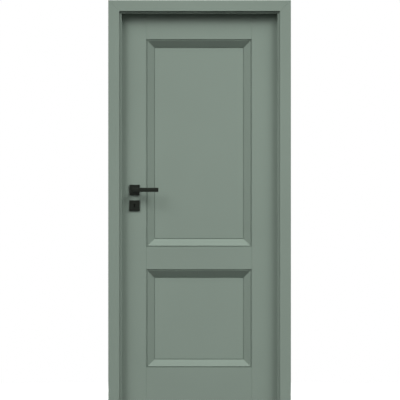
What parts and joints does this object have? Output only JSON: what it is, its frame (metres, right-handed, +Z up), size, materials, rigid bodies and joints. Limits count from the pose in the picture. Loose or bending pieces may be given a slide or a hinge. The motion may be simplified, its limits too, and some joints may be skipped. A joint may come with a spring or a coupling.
{
  "type": "interior door with frame",
  "caption": "Painted panel door in a mitred adjustable frame: rebated leaf on lift-off hinges, straight black levers on square rosettes, mortise lock with latch and dead bolt.",
  "frame": {"origin": "middle of the doorway at floor level, in the middle of the wall's thickness", "axes": "+Z up, +Y through the doorway towards the side that the leaf opens to, +X across the doorway towards the hinges"},
  "size_m": [0.955, 0.17, 2.1],
  "materials": {
    "sage_paint": "satin sage green paint on fibreboard and timber",
    "black_coat": "matt black coating",
    "hinge_steel": "satin nickel",
    "satin_steel": "satin",
    "zinc_steel": "zinc plated",
    "seal_rubber": "matt"
  },
  "bodies": {
    "frame": {"jamb_lock_side": "sage_paint", "jamb_hinge_side": "sage_paint", "jamb_head": "sage_paint", "casing_lock_side": "sage_paint", "casing_hinge_side": "sage_paint", "casing_head": "sage_paint", "frame_seal": "seal_rubber", "strike_plate": "satin_steel", "strike_plate_screws": "satin_steel", "hinge_top_frame_knuckle": "hinge_steel", "hinge_middle_frame_knuckle": "hinge_steel", "hinge_bottom_frame_knuckle": "hinge_steel", "hinge_pins": "hinge_steel", "hinge_anchors": "zinc_steel"},
    "leaf": {"stile_lock_side": "sage_paint", "stile_hinge_side": "sage_paint", "top_rail": "sage_paint", "lock_rail": "sage_paint", "bottom_rail": "sage_paint", "upper_panel": "sage_paint", "lower_panel": "sage_paint", "upper_moulding_front_left": "sage_paint", "upper_moulding_front_right": "sage_paint", "upper_moulding_front_top": "sage_paint", "upper_moulding_front_bottom": "sage_paint", "upper_moulding_back_left": "sage_paint", "upper_moulding_back_right": "sage_paint", "upper_moulding_back_top": "sage_paint", "upper_moulding_back_bottom": "sage_paint", "lower_moulding_front_left": "sage_paint", "lower_moulding_front_right": "sage_paint", "lower_moulding_front_top": "sage_paint", "lower_moulding_front_bottom": "sage_paint", "lower_moulding_back_left": "sage_paint", "lower_moulding_back_right": "sage_paint", "lower_moulding_back_top": "sage_paint", "lower_moulding_back_bottom": "sage_paint", "hinge_top_leaf_knuckle": "hinge_steel", "hinge_middle_leaf_knuckle": "hinge_steel", "hinge_bottom_leaf_knuckle": "hinge_steel", "lock_case": "zinc_steel", "lock_cover": "zinc_steel", "lock_faceplate": "satin_steel", "faceplate_screws": "satin_steel", "latch_spring": "zinc_steel", "lever_rosette_front": "black_coat", "lever_rosette_back": "black_coat", "key_rosette_front": "black_coat", "key_rosette_back": "black_coat", "lever_bases": "zinc_steel", "key_bases": "zinc_steel", "rosette_bolts": "zinc_steel"},
    "handle": {"lever_front": "black_coat", "lever_back": "black_coat", "spindle": "zinc_steel", "grub_screws": "zinc_steel", "follower": "zinc_steel"},
    "latch": {"latch_bolt": "satin_steel"},
    "deadbolt": {"dead_bolt": "satin_steel"}
  },
  "joints": [
    {"name": "leaf_swing", "type": "hinge", "parent": "frame", "child": "leaf", "pos_m": [0.439, 0.057, 1], "axis": [0, 0, -1], "range_deg": [0, 170]},
    {"name": "handle_turn", "type": "hinge", "parent": "leaf", "child": "handle", "pos_m": [-0.341, 0.041, 1.108], "axis": [0, 1, 0], "range_deg": [0, 40], "stiffness_Nm_per_rad": 1.5, "springref_deg": -20.05},
    {"name": "latch_slide", "type": "slide", "parent": "leaf", "child": "latch", "axis": [1, 0, 0], "range_m": [0, 0.0125], "deforming": ["latch_spring"]},
    {"name": "bolt_throw", "type": "slide", "parent": "leaf", "child": "deadbolt", "axis": [-1, 0, 0], "range_m": [0, 0.014]}
  ],
  "couplings": [
    {"joint": "latch_slide", "follows": "handle_turn", "m_per_rad": 0.0179}
  ]
}
